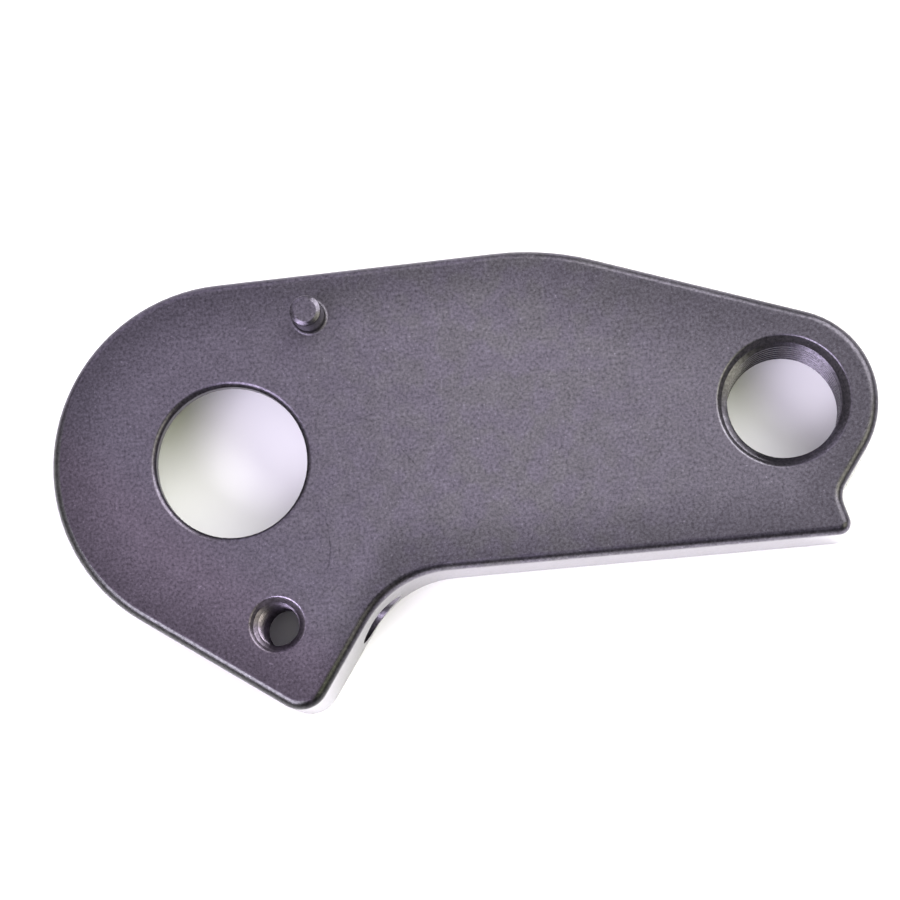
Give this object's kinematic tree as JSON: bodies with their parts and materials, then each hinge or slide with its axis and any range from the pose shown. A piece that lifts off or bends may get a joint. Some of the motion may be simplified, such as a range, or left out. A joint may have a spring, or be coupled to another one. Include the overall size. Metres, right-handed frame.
{
  "type": "bicycle derailleur hanger",
  "caption": "Flat dark anodised aluminium hanger plate with an axle bore at its round end, a derailleur thread at its arm's end, a fixing thread with a lock screw hole, a locating pin and a stop tooth.",
  "frame": {"origin": "axle bore's axis where it meets the face that bears on the frame", "axes": "+X from the axle to the derailleur thread, +Y towards the edge with the locating pin, +Z out of the frame-side face"},
  "size_m": [0.0665, 0.0349, 0.0111],
  "materials": {
    "anodised_plate": "bead-blasted and anodised dark grey with a faint purple tint, satin"
  },
  "bodies": {
    "root": {"derailleur_hanger": "anodised_plate"}
  },
  "joints": []
}
